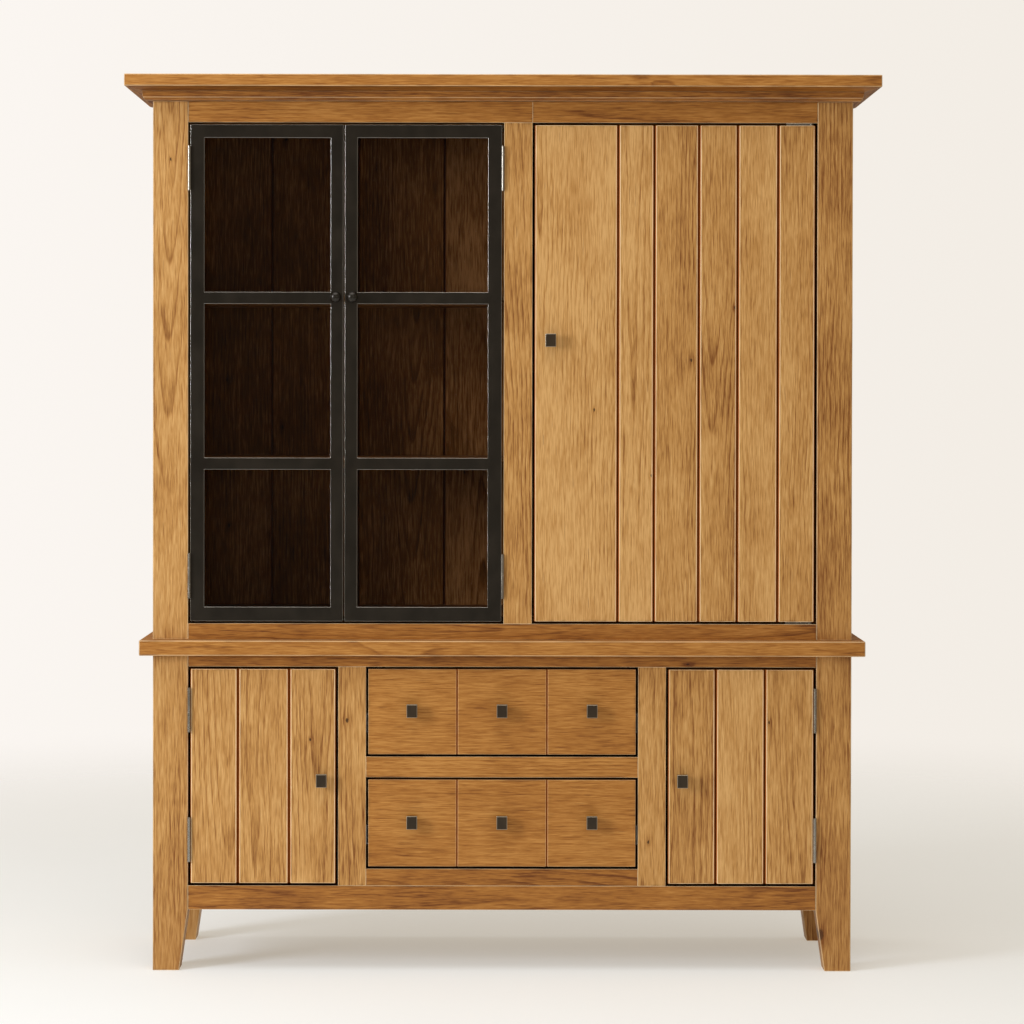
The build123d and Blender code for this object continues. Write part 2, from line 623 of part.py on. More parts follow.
def make_drawer(name, opening_z):
    """One drawer: a grooved front, a box of five boards, three knobs and its slides."""
    z0, z1 = opening_z[0] + GAP, opening_z[1] - GAP
    mid_z = (z0 + z1) / 2
    half = DRAWER_HALF - GAP
    front = board(-half, half, FRONT, FRONT + PLANK_T, z0, z1)
    place, mouth, root, depth = V_GROOVE
    for x in (-place, place):
        groove = [
            (x - mouth, FRONT - 0.5),
            (x + mouth, FRONT - 0.5),
            (x + root, FRONT + depth),
            (x - root, FRONT + depth),
        ]
        front -= prism_z(groove, z0 - 1, z1 + 1)
    node(name + "_front", front)

    out = DRAWER_HALF - BOX_SIDE_GAP
    inner = out - BOX_WALL
    box_y = (FRONT + PLANK_T, FRONT + PLANK_T + BOX_D)
    box_z = [z0 + up for up in BOX_Z]
    bottom_z = [box_z[0] + up for up in BOX_BOTTOM_Z]
    inside_y = (box_y[0] + BOX_WALL, box_y[1] - BOX_WALL)
    for side in SIDES.values():
        node(name + "_box", board(side * out, side * inner, *box_y, *box_z))
    for y0 in (box_y[0], inside_y[1]):
        node(name + "_box", board(-inner, inner, y0, y0 + BOX_WALL, *box_z))
    node(name + "_box", board(-inner, inner, *inside_y, *bottom_z))
    for x in DRAWER_KNOB_X:
        node(name + "_knobs", square_knob(x, mid_z + DRAWER_KNOB_LIFT))
    slide_z = box_z[0] + SLIDE_Z
    runner_y = [FRONT + along for along in RUNNER_Y]
    runner_z = (slide_z - RUNNER_HALF, slide_z + RUNNER_HALF)
    for side in SIDES.values():
        node("drawer_channels", channel(side * DRAWER_HALF, -side, slide_z))
        node(name + "_runners", board(side * out, side * (out + RUNNER_T), *runner_y, *runner_z))


def main():
    make_base()
    make_waist_and_crown()
    make_hutch()
    make_stops()
    make_doors()
    make_drawer("lower_drawer", LOWER_DRAWER_Z)
    make_drawer("upper_drawer", UPPER_DRAWER_Z)
    os.makedirs("parts", exist_ok=True)
    for name, solids in nodes.items():
        singles = [s for shape in solids for s in shape.solids()]
        export_step(Compound(label=name, children=singles), f"parts/{name}.step")
    print(len(nodes), "nodes,", sum(len(s) for s in nodes.values()), "solids")


main()
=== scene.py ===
import json
import math
import random

import bmesh
import bpy
from mathutils import Matrix, Vector, noise
from mathutils.bvhtree import BVHTree


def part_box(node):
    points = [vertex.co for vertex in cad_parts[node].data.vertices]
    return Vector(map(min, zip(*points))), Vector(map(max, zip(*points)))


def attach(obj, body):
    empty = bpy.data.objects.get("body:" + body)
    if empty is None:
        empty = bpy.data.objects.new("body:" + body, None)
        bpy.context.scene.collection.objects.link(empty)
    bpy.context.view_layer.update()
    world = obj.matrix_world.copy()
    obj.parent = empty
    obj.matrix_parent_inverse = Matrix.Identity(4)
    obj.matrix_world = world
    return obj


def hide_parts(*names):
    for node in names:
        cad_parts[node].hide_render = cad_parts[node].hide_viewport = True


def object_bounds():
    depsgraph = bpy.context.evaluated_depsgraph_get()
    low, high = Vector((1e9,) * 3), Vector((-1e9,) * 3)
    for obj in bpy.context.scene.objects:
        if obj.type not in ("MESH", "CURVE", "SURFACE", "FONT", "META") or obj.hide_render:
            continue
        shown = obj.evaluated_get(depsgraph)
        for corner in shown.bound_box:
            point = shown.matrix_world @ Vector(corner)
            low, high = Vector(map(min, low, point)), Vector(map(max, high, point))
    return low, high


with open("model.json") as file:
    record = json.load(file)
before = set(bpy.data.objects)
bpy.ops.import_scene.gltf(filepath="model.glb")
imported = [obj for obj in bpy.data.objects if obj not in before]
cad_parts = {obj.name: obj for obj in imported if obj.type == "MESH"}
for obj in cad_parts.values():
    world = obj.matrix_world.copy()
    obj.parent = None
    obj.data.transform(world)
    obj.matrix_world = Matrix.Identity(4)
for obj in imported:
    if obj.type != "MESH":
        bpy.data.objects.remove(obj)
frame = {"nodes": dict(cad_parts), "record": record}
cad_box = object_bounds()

# Looks for the pantry cabinet. The wooden CAD nodes, the steel door frames and the square knobs
# are replaced by dressed copies of themselves: each board or bar keeps its place and size, gets
# worn arrises, and carries its own grain. The other nodes keep their shape and get a material.

MM = 0.001
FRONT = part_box("hutch_outer_stiles")[0].y
BODY_OF = {
    name: body
    for body, names in frame["record"]["behaviour"]["bodies"].items()
    for name in names
}
SLOT_OF = {part["node"]: part["material_slot"] for part in frame["record"]["subparts"]}


# Building node trees


class Graph:
    """A material's node tree. Methods return sockets, and take sockets or plain values."""

    def __init__(self, name):
        self.material = bpy.data.materials.new(name)
        self.material.use_nodes = True
        self.tree = self.material.node_tree
        self.shader = self.tree.nodes["Principled BSDF"]

    def put(self, socket, value):
        if isinstance(value, bpy.types.NodeSocket):
            self.tree.links.new(value, socket)
        elif value is not None:
            socket.default_value = value

    def node(self, kind, inputs=None, **settings):
        made = self.tree.nodes.new("ShaderNode" + kind)
        for key, value in settings.items():
            setattr(made, key, value)
        for key, value in (inputs or {}).items():
            self.put(made.inputs[key], value)
        return made

    def attribute(self, name, output="Vector"):
        return self.node("Attribute", attribute_name=name).outputs[output]

    def math(self, operation, a, b=None, c=None, clamp=False):
        inputs = {i: v for i, v in enumerate((a, b, c)) if v is not None}
        return self.node("Math", inputs, operation=operation, use_clamp=clamp).outputs[0]

    def vector(self, operation, a, b=None):
        inputs = {i: v for i, v in enumerate((a, b)) if v is not None}
        made = self.node("VectorMath", inputs, operation=operation)
        return made.outputs["Value" if operation == "LENGTH" else "Vector"]

    def split(self, vector):
        made = self.node("SeparateXYZ", {"Vector": vector})
        return [made.outputs[i] for i in range(3)]

    def join(self, x, y, z):
        return self.node("CombineXYZ", {0: x, 1: y, 2: z}).outputs[0]

    def noise(self, at, scale, detail=2.0, roughness=0.5):
        """Noise from 0 to 1, stretched by a scale for each axis."""
        stretched = self.vector("MULTIPLY", at, scale)
        inputs = {"Vector": stretched, "Scale": 1.0, "Detail": detail, "Roughness": roughness}
        return self.node("TexNoise", inputs).outputs[0]

    def fade(self, value, low, high, out_low=0.0, out_high=1.0):
        """A smooth step between two values."""
        inputs = {"Value": value, 1: low, 2: high, 3: out_low, 4: out_high}
        return self.node("MapRange", inputs, interpolation_type="SMOOTHSTEP").outputs[0]

    def mix(self, factor, a, b, blend="MIX"):
        made = self.node("Mix", data_type="RGBA", blend_type=blend)
        for index, value in ((0, factor), (6, a), (7, b)):
            self.put(made.inputs[index], value)
        return made.outputs[2]

    def ramp(self, factor, *stops):
        """A colour ramp through (place, colour) stops."""
        made = self.node("ValToRGB", {"Fac": factor})
        points = made.color_ramp.elements
        while len(points) < len(stops):
            points.new(0.5)
        for point, (place, colour) in zip(points, stops):
            point.position = place
            point.color = (*colour, 1.0)
        return made.outputs[0]

    def total(self, start, *terms):
        """start plus each (factor, value) term, the value taken about its middle of 0.5."""
        out = start
        for factor, value in terms:
            centred = self.math("SUBTRACT", value, 0.5)
            out = self.math("MULTIPLY_ADD", centred, factor, out)
        return out

    def bump(self, height, strength, distance):
        inputs = {"Height": height, "Strength": strength, "Distance": distance}
        self.put(self.shader.inputs["Normal"], self.node("Bump", inputs).outputs[0])

    def set(self, **inputs):
        for key, value in inputs.items():
            self.put(self.shader.inputs[key.replace("_", " ")], value)
        return self.material


def srgb(red, green, blue):
    """A linear colour from an 8-bit display colour."""
    return tuple((c / 255 / 12.92) if c < 10 else ((c / 255 + 0.055) / 1.055) ** 2.4
                 for c in (red, green, blue))


def arris_distance(g, at, half):
    """Distance to the nearest arris of the board: the middle one of the three to its sides."""
    inside = g.vector("SUBTRACT", half, g.vector("ABSOLUTE", at))
    a, b, c = g.split(inside)
    return g.math("MAXIMUM", g.math("MINIMUM", a, b),
                  g.math("MINIMUM", g.math("MAXIMUM", a, b), c))


# Materials

ARRIS_WEAR_AND_HIGHLIGHT = srgb(254, 228, 182)  # arrises rubbed down to bare wood, with a painted highlight along them
EDGE_STAIN = srgb(164, 92, 30)  # the joints between door planks
PAINTED_GAP_SHADE = srgb(34, 12, 3)  # painted shade on the edges of rails and stiles, darkening the gaps beside them
GROOVE_STAIN = srgb(168, 98, 34)  # the V grooves in the drawer fronts
BACK_STAIN = srgb(84, 40, 10)  # the joints between back boards
DARK_NEAR_FLOOR = srgb(128, 74, 22)  # a darker colour towards the floor, on the lowest part of the wood
RING = 9.5 * MM  # growth ring spacing as the boards show it
KNOT_CELL = (0.40, 0.12)  # a cell that may hold one knot, along and across the grain
KNOT_SIZE = (2 * MM, 8 * MM)  # radius of the smallest and the largest knot
STAIN_AND_SHADE_DEPTH = (0.3 * MM, 0.7 * MM)  # below a board's face, where the colour of its edges starts and is full: stained wood, and on frames painted shade


def shade(colour, share):
    """A darker (share below 1) or lighter colour of the same hue, with alpha."""
    return (*(c * share for c in colour), 1)


def knot_pattern(g, at, knots):
    """A knot in a share of the cells of a coarse pattern. Returns the oval distance from the
    cell's knot, how near a knot is, how far it lies across the grain, and its dark eye."""
    cell_at = g.vector("MULTIPLY", at, (1 / KNOT_CELL[0], 1 / KNOT_CELL[1], 0.0))
    cells = g.node("TexVoronoi", {"Vector": cell_at, "Scale": 1.0, "Randomness": 0.8},
                   voronoi_dimensions="2D")
    offset = g.vector("SUBTRACT", cells.outputs["Position"], cell_at)
    from_knot = g.vector("MULTIPLY", offset, (KNOT_CELL[0], KNOT_CELL[1], 0.0))
    oval = g.vector("LENGTH", g.vector("MULTIPLY", from_knot, (0.55, 1.0, 0.0)))
    ragged = g.noise(at, (160.0, 260.0, 260.0), 2.0)
    oval = g.total(oval, (4.0 * MM, ragged))
    chance, size_share, _ = g.split(cells.outputs["Color"])
    present = g.math("LESS_THAN", chance, knots)
    smallest, largest = KNOT_SIZE
    size = g.math("MULTIPLY_ADD", g.math("POWER", size_share, 3.0), largest - smallest, smallest)
    reach = g.math("DIVIDE", oval, g.math("MULTIPLY", size, 3.2))
    bell = g.math("EXPONENT", g.math("MULTIPLY", g.math("MULTIPLY", reach, reach), -1.0))
    near = g.math("MULTIPLY", bell, present)
    eye = g.math("MULTIPLY", g.fade(g.math("DIVIDE", oval, size), 1.2, 0.7), present)
    return oval, near, g.split(from_knot)[1], eye


def growth_rings(g, at, local, seed, near, to_knot):
    """Dark latewood of rings round a pith that runs under the board at a slight slope. The
    grain bends round knots."""
    along, across, through = g.split(local)
    seed_x, seed_y, seed_z = g.split(seed)
    wander = g.noise(at, (1.8, 6.0, 6.0), 3.0)
    ripple = g.noise(at, (8.0, 34.0, 34.0), 3.0)
    flow = g.math("MULTIPLY_ADD", to_knot, near, across)
    flow = g.total(flow, (0.045, wander), (0.010, ripple))
    pith_across = g.total(flow, (0.20, seed_x))
    slope = g.total(0.0, (0.13, seed_z))
    pith_under = g.math("MULTIPLY_ADD", seed_y, 0.07, 0.012)
    pith_under = g.math("ADD", pith_under, g.math("MULTIPLY_ADD", along, slope, through))
    radius = g.vector("LENGTH", g.join(pith_across, pith_under, 0.0))
    phase = g.math("FRACT", g.math("DIVIDE", radius, RING))
    late = g.math("MULTIPLY", g.math("POWER", phase, 4.0), g.fade(phase, 1.0, 0.88))
    shown = g.fade(g.noise(at, (2.0, 12.0, 12.0), 2.0), 0.38, 0.62)
    return g.math("MULTIPLY", late, shown)


def edge_wear_and_painted_light(g, colour, local, half, at, dark, stain_and_shade, pale):
    """Edges burnished dark beside the faces, stained below them (painted shade on frames), and
    arrises rubbed pale with a painted highlight.
    """
    distance = arris_distance(g, local, half)
    worn = g.noise(at, (11.0, 50.0, 50.0), 3.0)
    grime = g.math("MULTIPLY", g.fade(distance, 7.0 * MM, 1.0 * MM), g.fade(worn, 0.45, 0.62))
    colour = g.mix(g.math("MULTIPLY", grime, 0.3), colour, shade(dark, 0.5))
    rim = g.attribute("rim", "Fac")
    # Below the faces the board takes the edge colour: stained wood, and on rail and stile frames
    # painted shade in the gaps
    if stain_and_shade:
        starts, full = STAIN_AND_SHADE_DEPTH
        below = g.math("SUBTRACT", g.split(half)[2], g.math("ABSOLUTE", g.split(local)[2]))
        colour = g.mix(g.fade(below, starts, full), colour, (*stain_and_shade, 1))
        rim = g.math("MULTIPLY", rim, g.fade(below, full, starts))
    # Arrises rubbed pale, which is also a painted highlight along them
    rubbed = g.math("MULTIPLY", rim, g.fade(worn, 0.72, 0.42, 0.55, 1.0))
    return g.mix(g.math("MULTIPLY", rubbed, pale), colour, (*ARRIS_WEAR_AND_HIGHLIGHT, 1))


def wood(name, light, middle, dark, knots=0.34, stain_and_shade=None, pale=0.5, rough=0.5, gloss=0.28,
         near_floor_darkening=0.0, figure=1.0):
    """Knotty pine. The board's own axes give along, across and through the grain. stain is the
    colour of the board below its faces, on its edges, chamfers and grooves: stained wood, and on
    rail and stile frames painted shade in the gaps. figure is how strongly the growth rings and
    the grain round knots show."""
    g = Graph(name)
    local = g.attribute("board_at")
    half = g.attribute("board_half")
    seed = g.attribute("board_seed")
    tint = g.attribute("board_tint", "Fac")
    at = g.vector("ADD", local, g.vector("MULTIPLY", seed, (17.0, 11.0, 7.0)))

    oval, near, to_knot, eye = knot_pattern(g, at, knots)
    late = growth_rings(g, at, local, seed, near, to_knot)
    fleck = g.noise(at, (30.0, 420.0, 420.0), 2.0, 0.6)
    fine = g.noise(at, (16.0, 260.0, 260.0), 2.0, 0.6)
    dash = g.noise(at, (20.0, 340.0, 340.0), 1.0)
    streak = g.noise(at, (3.0, 60.0, 60.0), 3.0)
    mottle = g.noise(at, (4.5, 9.0, 9.0), 3.0, 0.55)
    dark_dash = g.fade(dash, 0.56, 0.66)

    tone = g.total(0.40, (0.85, fleck), (0.9, fine), (0.25, streak), (0.7, mottle))
    for share, value in ((0.62 * figure, late), (0.16, dark_dash), (0.24, tint),
                         (0.30 * figure, near)):
        tone = g.math("MULTIPLY_ADD", value, share, tone)
    colour = g.ramp(tone, (0.05, light), (0.45, middle), (0.95, dark))

    # Dark fissures along the grain, then the dark eye of a knot
    fissure = g.fade(g.noise(at, (18.0, 300.0, 300.0), 1.0), 0.72, 0.77)
    colour = g.mix(g.math("MULTIPLY", fissure, 0.3), colour, shade(dark, 0.5))
    eye_rings = g.math("SINE", g.math("MULTIPLY", oval, 2600.0))
    eye_share = g.math("MULTIPLY", eye, g.math("MULTIPLY_ADD", eye_rings, 0.1, 0.85))
    colour = g.mix(eye_share, colour, shade(dark, 0.18))

    colour = edge_wear_and_painted_light(g, colour, local, half, at, dark, stain_and_shade, pale)
    # Darker towards the floor, below about 0.42 m
    if near_floor_darkening:
        height = g.split(g.node("TexCoord").outputs["Object"])[2]
        low = g.math("MULTIPLY", g.fade(g.total(height, (0.2, mottle)), 0.42, 0.0), near_floor_darkening)
        colour = g.mix(low, colour, (*DARK_NEAR_FLOOR, 1))

    polish = g.total(rough, (0.16, streak), (0.14, mottle))
    height = g.total(0.0, (0.6, fleck), (0.7, fine), (0.4, streak), (0.15, mottle))
    for share, value in ((-0.25, dark_dash), (-0.2, late), (-0.8, fissure), (-0.6, eye)):
        height = g.math("MULTIPLY_ADD", value, share, height)
    g.bump(height, 0.45, 0.6 * MM)
    return g.set(Base_Color=colour, Roughness=polish, Specular_IOR_Level=gloss)


def metal(name, colour, worn_colour, metallic, roughness, edge=0.0):
    """A painted metal with a slight cloudiness, a fine tooth and rubbed arrises. edge is how far
    the rubbing reaches from the piece's outer arrises."""
    g = Graph(name)
    seed = g.attribute("board_seed")
    local = g.attribute("board_at")
    at = g.vector("ADD", local, g.vector("MULTIPLY", seed, (5.0, 7.0, 3.0)))
    cloud = g.noise(at, (14.0, 20.0, 20.0), 4.0)
    tooth = g.noise(at, (60.0, 60.0, 60.0), 3.0, 0.7)
    tone = g.mix(g.fade(cloud, 0.3, 0.7), shade(colour, 0.8), shade(colour, 1.2))
    rim = g.attribute("rim", "Fac")
    if edge:
        near = arris_distance(g, local, g.attribute("board_half"))
        rim = g.math("MAXIMUM", rim, g.fade(near, edge, edge * 0.4))
    rubbed = g.math("MULTIPLY", rim, g.fade(cloud, 0.3, 0.6, 0.94, 1.0))
    tone = g.mix(rubbed, tone, (*worn_colour, 1))
    rough = g.total(roughness, (0.14, cloud), (0.1, tooth))
    g.bump(tooth, 0.18, 0.3 * MM)
    return g.set(Base_Color=tone, Roughness=g.math("MULTIPLY_ADD", rubbed, -0.12, rough),
                 Metallic=g.math("MULTIPLY_ADD", rubbed, 0.9 - metallic, metallic))


def plain(name, colour, roughness, metallic=0.0, scale=220.0, strength=0.2):
    """A moulded, cast or plated finish that needs no board axes."""
    g = Graph(name)
    at = g.node("TexCoord").outputs["Object"]
    cloud = g.noise(at, (35.0, 35.0, 35.0), 3.0)
    grain = g.noise(at, (scale, scale, scale), 2.0)
    tone = g.mix(cloud, shade(colour, 0.75), shade(colour, 1.25))
    g.bump(grain, strength, 0.2 * MM)
    return g.set(Base_Color=tone, Roughness=g.total(roughness, (0.2, cloud), (0.12, grain)),
                 Metallic=metallic)


def clear_glass(name):
    """Float glass. It is thin, so it is carried as a faint see-through surface."""
    g = Graph(name)
    at = g.node("TexCoord").outputs["Object"]
    smear = g.noise(at, (9.0, 9.0, 5.0), 3.0)
    g.bump(g.noise(at, (2.2, 2.2, 2.2), 1.0), 0.04, 1 * MM)
    return g.set(Base_Color=(0.02, 0.02, 0.018, 1), Roughness=g.total(0.08, (0.06, smear)),
                 Alpha=0.035, IOR=1.5)


# Light, middle and dark tone of each wood, then the metals
HONEY = (srgb(214, 168, 106), srgb(186, 136, 73), srgb(122, 70, 22))
RAIL = (srgb(190, 134, 66), srgb(163, 106, 42), srgb(106, 56, 13))
# The inside tones are a darker stain and partly painted shade of the cabinet's interior
INSIDE_STAIN_AND_SHADE = (srgb(146, 102, 58), srgb(96, 56, 12), srgb(54, 28, 4))
# The partition's tones are lighter than the inside's: painted light where the key light falls on it
PARTITION_PAINTED_LIGHT = (srgb(172, 122, 74), srgb(136, 91, 50), srgb(88, 52, 24))
BOX = (srgb(222, 190, 140), srgb(202, 165, 112), srgb(168, 126, 76))
GUNMETAL = srgb(41, 36, 29)
BRONZE = srgb(56, 45, 31)
RUBBED_BRONZE = srgb(172, 160, 140)
RUBBED_STEEL = srgb(206, 202, 194)

MATERIALS = {
    "honey_wood": wood("honey_pine", *HONEY, near_floor_darkening=0.2),
    "honey_planks": wood("honey_planks", *HONEY, knots=0.42, stain_and_shade=EDGE_STAIN, pale=0.9),
    "honey_frame": wood("honey_frame", *HONEY, stain_and_shade=PAINTED_GAP_SHADE, pale=0.85),
    "rail_wood": wood("rail_pine", *RAIL, knots=0.16, pale=0.4),
    "rail_frame": wood("rail_frame", *RAIL, knots=0.16, stain_and_shade=PAINTED_GAP_SHADE, pale=0.7),
    "drawer_pine": wood("drawer_pine", *RAIL, knots=0.06, stain_and_shade=GROOVE_STAIN, pale=0.45,
                        figure=0.4),
    # Inside wood: a darker stain, partly painted shade
    "inside_wood": wood("stained_and_shaded_inside", *INSIDE_STAIN_AND_SHADE, pale=0.05, gloss=0.08),
    "inside_planks": wood("stained_and_shaded_planks", *INSIDE_STAIN_AND_SHADE, stain_and_shade=BACK_STAIN, pale=0.0, gloss=0.08),
    # The partition: inside wood painted lighter, as painted light
    "partition_painted_light": wood("partition_pine_painted_light", *PARTITION_PAINTED_LIGHT, pale=0.05, gloss=0.08),
    "drawer_box_wood": wood("drawer_box_softwood", *BOX, knots=0.12, pale=0.3, rough=0.6),
    "gunmetal_steel": metal("gunmetal_paint", GUNMETAL, RUBBED_STEEL, 0.6, 0.34),
    "bronze_knob": metal("oiled_bronze", BRONZE, RUBBED_BRONZE, 0.5, 0.42, 1.8 * MM),
    "round_knob": plain("blackened_knob", srgb(40, 36, 30), 0.26, 0.5),
    "hinge_steel": plain("blackened_steel", srgb(150, 144, 134), 0.24, 0.9),
    "slide_zinc": plain("zinc_plate", srgb(178, 180, 184), 0.34, 0.9, 400.0, 0.1),
    "glass": clear_glass("float_glass"),
    "catch_plastic": plain("brown_plastic", srgb(70, 48, 32), 0.5),
}

# Nodes whose finish is more particular than their material slot
FINISHES = {
    "honey_planks": ("plank_door_planks", "base_door_left_planks", "base_door_right_planks"),
    "honey_frame": ("base_middle_stiles", "hutch_middle_stile"),
    "rail_frame": ("base_top_rail", "base_bottom_rail", "base_drawer_rails", "hutch_top_rail",
                   "hutch_bottom_rail"),
    "drawer_pine": ("upper_drawer_front", "lower_drawer_front"),
    "inside_planks": ("hutch_back_boards", "base_back_boards"),
    "partition_painted_light": ("hutch_partition",),
    "round_knob": ("glass_door_left_knob", "glass_door_right_knob"),
}
FINISH_OF = {node: finish for finish, names in FINISHES.items() for node in names}
PLANKED = FINISHES["honey_planks"] + FINISHES["inside_planks"]

# How much darker (above 0) or lighter each board of a node is, where the photograph tells
TINTS = {
    "plank_door_planks": (-0.9, -1.0, 0.1, 0.15, -0.5, -0.25),
    "base_door_left_planks": (-0.2, -0.2, -0.5),
    "base_door_right_planks": (0.2, -0.6, -0.2),
    "hutch_outer_stiles": (-0.3, 0.45),
    # The fourth back board is tinted lighter, partly as painted light falling on it
    "hutch_back_boards": (0.1, 0.1, 0.0, -0.7, 0.0, 0.2, 0.1, 0.0),
    "base_front_posts": (-0.1, 0.5),
    "base_middle_stiles": (-0.1, -0.2),
    "hutch_middle_stile": (0.0,),
    "hutch_top_rail": (-0.3, -0.2),
    "hutch_bottom_rail": (0.2,),
    "base_top_rail": (0.5,),
    "base_bottom_rail": (0.3,),
    "base_drawer_rails": (0.4, -0.7),
    "waist_top": (-0.3,),
    "crown_cap": (-0.4,),
    "crown_mouldings": (0.8,) * 7,
    "upper_drawer_front": (-0.5,),
    "lower_drawer_front": (-0.4,),
}


# Dressing boards and bars

SHARP_ANGLE = 0.4  # radians: an edge that turns more is rounded


def material_of(name):
    """The node's finish, or else the material of its slot."""
    return MATERIALS[FINISH_OF.get(name, SLOT_OF[name])]


def solids_of(name):
    """The node's solids, each as welded points and faces. A solid ends where its edges all pair."""
    mesh = frame["nodes"][name].data
    found = []
    index, points, faces, lone = {}, [], [], set()
    for face in mesh.polygons:
        corners = []
        for v in face.vertices:
            co = mesh.vertices[v].co
            key = tuple(round(c * 1e5) for c in co)
            if key not in index:
                index[key] = len(points)
                points.append(co.copy())
            corners.append(index[key])
        if len(set(corners)) == len(corners):
            faces.append(corners)
            for a, b in zip(corners, corners[1:] + corners[:1]):
                lone ^= {(min(a, b), max(a, b))}
        if faces and not lone:
            found.append((points, faces))
            index, points, faces = {}, [], []
    return found


def extent(points):
    low = Vector(min(p[i] for p in points) for i in range(3))
    high = Vector(max(p[i] for p in points) for i in range(3))
    return low, high


def fused(name):
    """A node's square-edged solids welded into one, as the filled cells of their common grid."""
    solids = solids_of(name)
    lines = [sorted({round(p[i], 5) for points, _ in solids for p in points}) for i in range(3)]
    trees = [BVHTree.FromPolygons(points, faces) for points, faces in solids]
    heading = Vector((0.31, 0.52, 0.79)).normalized()

    def filled(cell):
        if any(not 0 <= n < len(line) - 1 for n, line in zip(cell, lines)):
            return False
        middle = Vector((line[n] + line[n + 1]) / 2 for n, line in zip(cell, lines))
        for tree in trees:
            hits, start = 0, middle
            while (hit := tree.ray_cast(start, heading)[0]) is not None:
                hits += 1
                start = hit + heading * 1e-6
            if hits % 2:
                return True
        return False

    cells = [(i, j, k) for i in range(len(lines[0]) - 1) for j in range(len(lines[1]) - 1)
             for k in range(len(lines[2]) - 1) if filled((i, j, k))]
    index, points, faces = {}, [], []
    for cell in cells:
        for axis in range(3):
            for way in (0, 1):
                beside = list(cell)
                beside[axis] += 2 * way - 1
                if tuple(beside) in cells:
                    continue
                u, v = (axis + 1) % 3, (axis + 2) % 3
                corners = []
                for du, dv in ((0, 0), (1, 0), (1, 1), (0, 1)):
                    corner = list(cell)
                    corner[axis] += way
                    corner[u] += du
                    corner[v] += dv
                    key = tuple(corner)
                    if key not in index:
                        index[key] = len(points)
                        points.append(Vector(line[n] for n, line in zip(key, lines)))
                    corners.append(index[key])
                faces.append(corners if way else corners[::-1])
    return [(points, faces)]


def cut_across(bm, axis, low, high, step, rng):
    """Loops round a board at uneven steps along it, so that its arrises can waver."""
    normal = Vector(1.0 if i == axis else 0.0 for i in range(3))
    count = max(2, round((high - low) / step))
    for i in range(1, count):
        share = (i + rng.uniform(-0.3, 0.3)) / count
        place = Vector((0, 0, 0))
        place[axis] = low + share * (high - low)
        geometry = bm.verts[:] + bm.edges[:] + bm.faces[:]
        bmesh.ops.bisect_plane(bm, geom=geometry, plane_co=place, plane_no=normal, dist=1e-6)


def rounded_board(points, faces, radius, segments, tight_y):
    """A board with its sharp edges rounded. Rounded faces are marked in the layer "rim". Edges
    that lie wholly behind tight_y stay sharp."""
    bm = bmesh.new()
    verts = [bm.verts.new(p) for p in points]
    for corners in faces:
        bm.faces.new([verts[i] for i in corners])
    bmesh.ops.dissolve_limit(bm, angle_limit=math.radians(1), verts=bm.verts, edges=bm.edges)
    sharp = [e for e in bm.edges if len(e.link_faces) == 2 and e.calc_face_angle() > SHARP_ANGLE]
    sharp = [e for e in sharp if min(v.co.y for v in e.verts) < tight_y]
    rim = bm.faces.layers.float.new("rim")
    rounded = bmesh.ops.bevel(bm, geom=sharp, offset=radius, segments=segments, profile=0.5,
                              affect="EDGES", clamp_overlap=True)
    for face in rounded["faces"]:
        face[rim] = 1.0
    return bm


def wear_down(bm, axis, low, high, wear, step, rng):
    """Presses a board's surface in unevenly by up to about the depth of wear."""
    cut_across(bm, axis, low, high, step, rng)
    bm.normal_update()
    shift = Vector(rng.uniform(0, 50) for _ in range(3))
    for v in bm.verts:
        depth = max(0.0, noise.noise(v.co * 9 + shift) + 0.35) * wear
        v.co -= v.normal * depth


def dress(name, radius, wear=0.0, step=0.07, segments=2):
    """Replaces a node by a copy with rounded, slightly worn arrises and grain axes per solid."""
    rng = random.Random(name)
    tints = TINTS.get(name)
    points, faces, data, rims = [], [], [], []
    solids = fused(name) if name in WELDED else solids_of(name)
    for number, (solid_points, solid_faces) in enumerate(solids):
        low, high = extent(solid_points)
        size = high - low
        middle = (low + high) / 2
        order = sorted(range(3), key=lambda i: -size[i])
        # Planks that meet at their backs stay tight there
        tight_y = high.y - 1 * MM if name in PLANKED else math.inf
        bm = rounded_board(solid_points, solid_faces, radius, segments, tight_y)
        if wear:
            wear_down(bm, order[0], low[order[0]], high[order[0]], wear, step, rng)
        marks = (
            Vector(size[i] / 2 for i in order),
            Vector(rng.random() for _ in range(3)),
            tints[number % len(tints)] if tints else rng.uniform(-1, 1),
        )
        rim = bm.faces.layers.float["rim"]
        bm.verts.index_update()
        start = len(points)
        points += [v.co.copy() for v in bm.verts]
        faces += [[start + v.index for v in f.verts] for f in bm.faces]
        rims += [f[rim] for f in bm.faces]
        data += [(Vector((v.co - middle)[i] for i in order), *marks) for v in bm.verts]
        bm.free()
    piece = new_piece(name + ".dressed", points, faces, material_of(name))
    mark_boards(piece.data, rims, data)
    weighted = piece.modifiers.new("face_normals", "WEIGHTED_NORMAL")
    weighted.keep_sharp = True
    finish(piece, BODY_OF[name], SLOT_OF[name])
    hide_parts(name)


def mark_boards(mesh, rims, data):
    """Writes what the materials read: rim on faces, and the board's own axes on points."""
    mesh.attributes.new("rim", "FLOAT", "FACE").data.foreach_set("value", rims)
    for column, label in enumerate(("board_at", "board_half", "board_seed")):
        layer = mesh.attributes.new(label, "FLOAT_VECTOR", "POINT")
        for i, row in enumerate(data):
            layer.data[i].vector = row[column]
    tint = mesh.attributes.new("board_tint", "FLOAT", "POINT")
    tint.data.foreach_set("value", [row[3] for row in data])


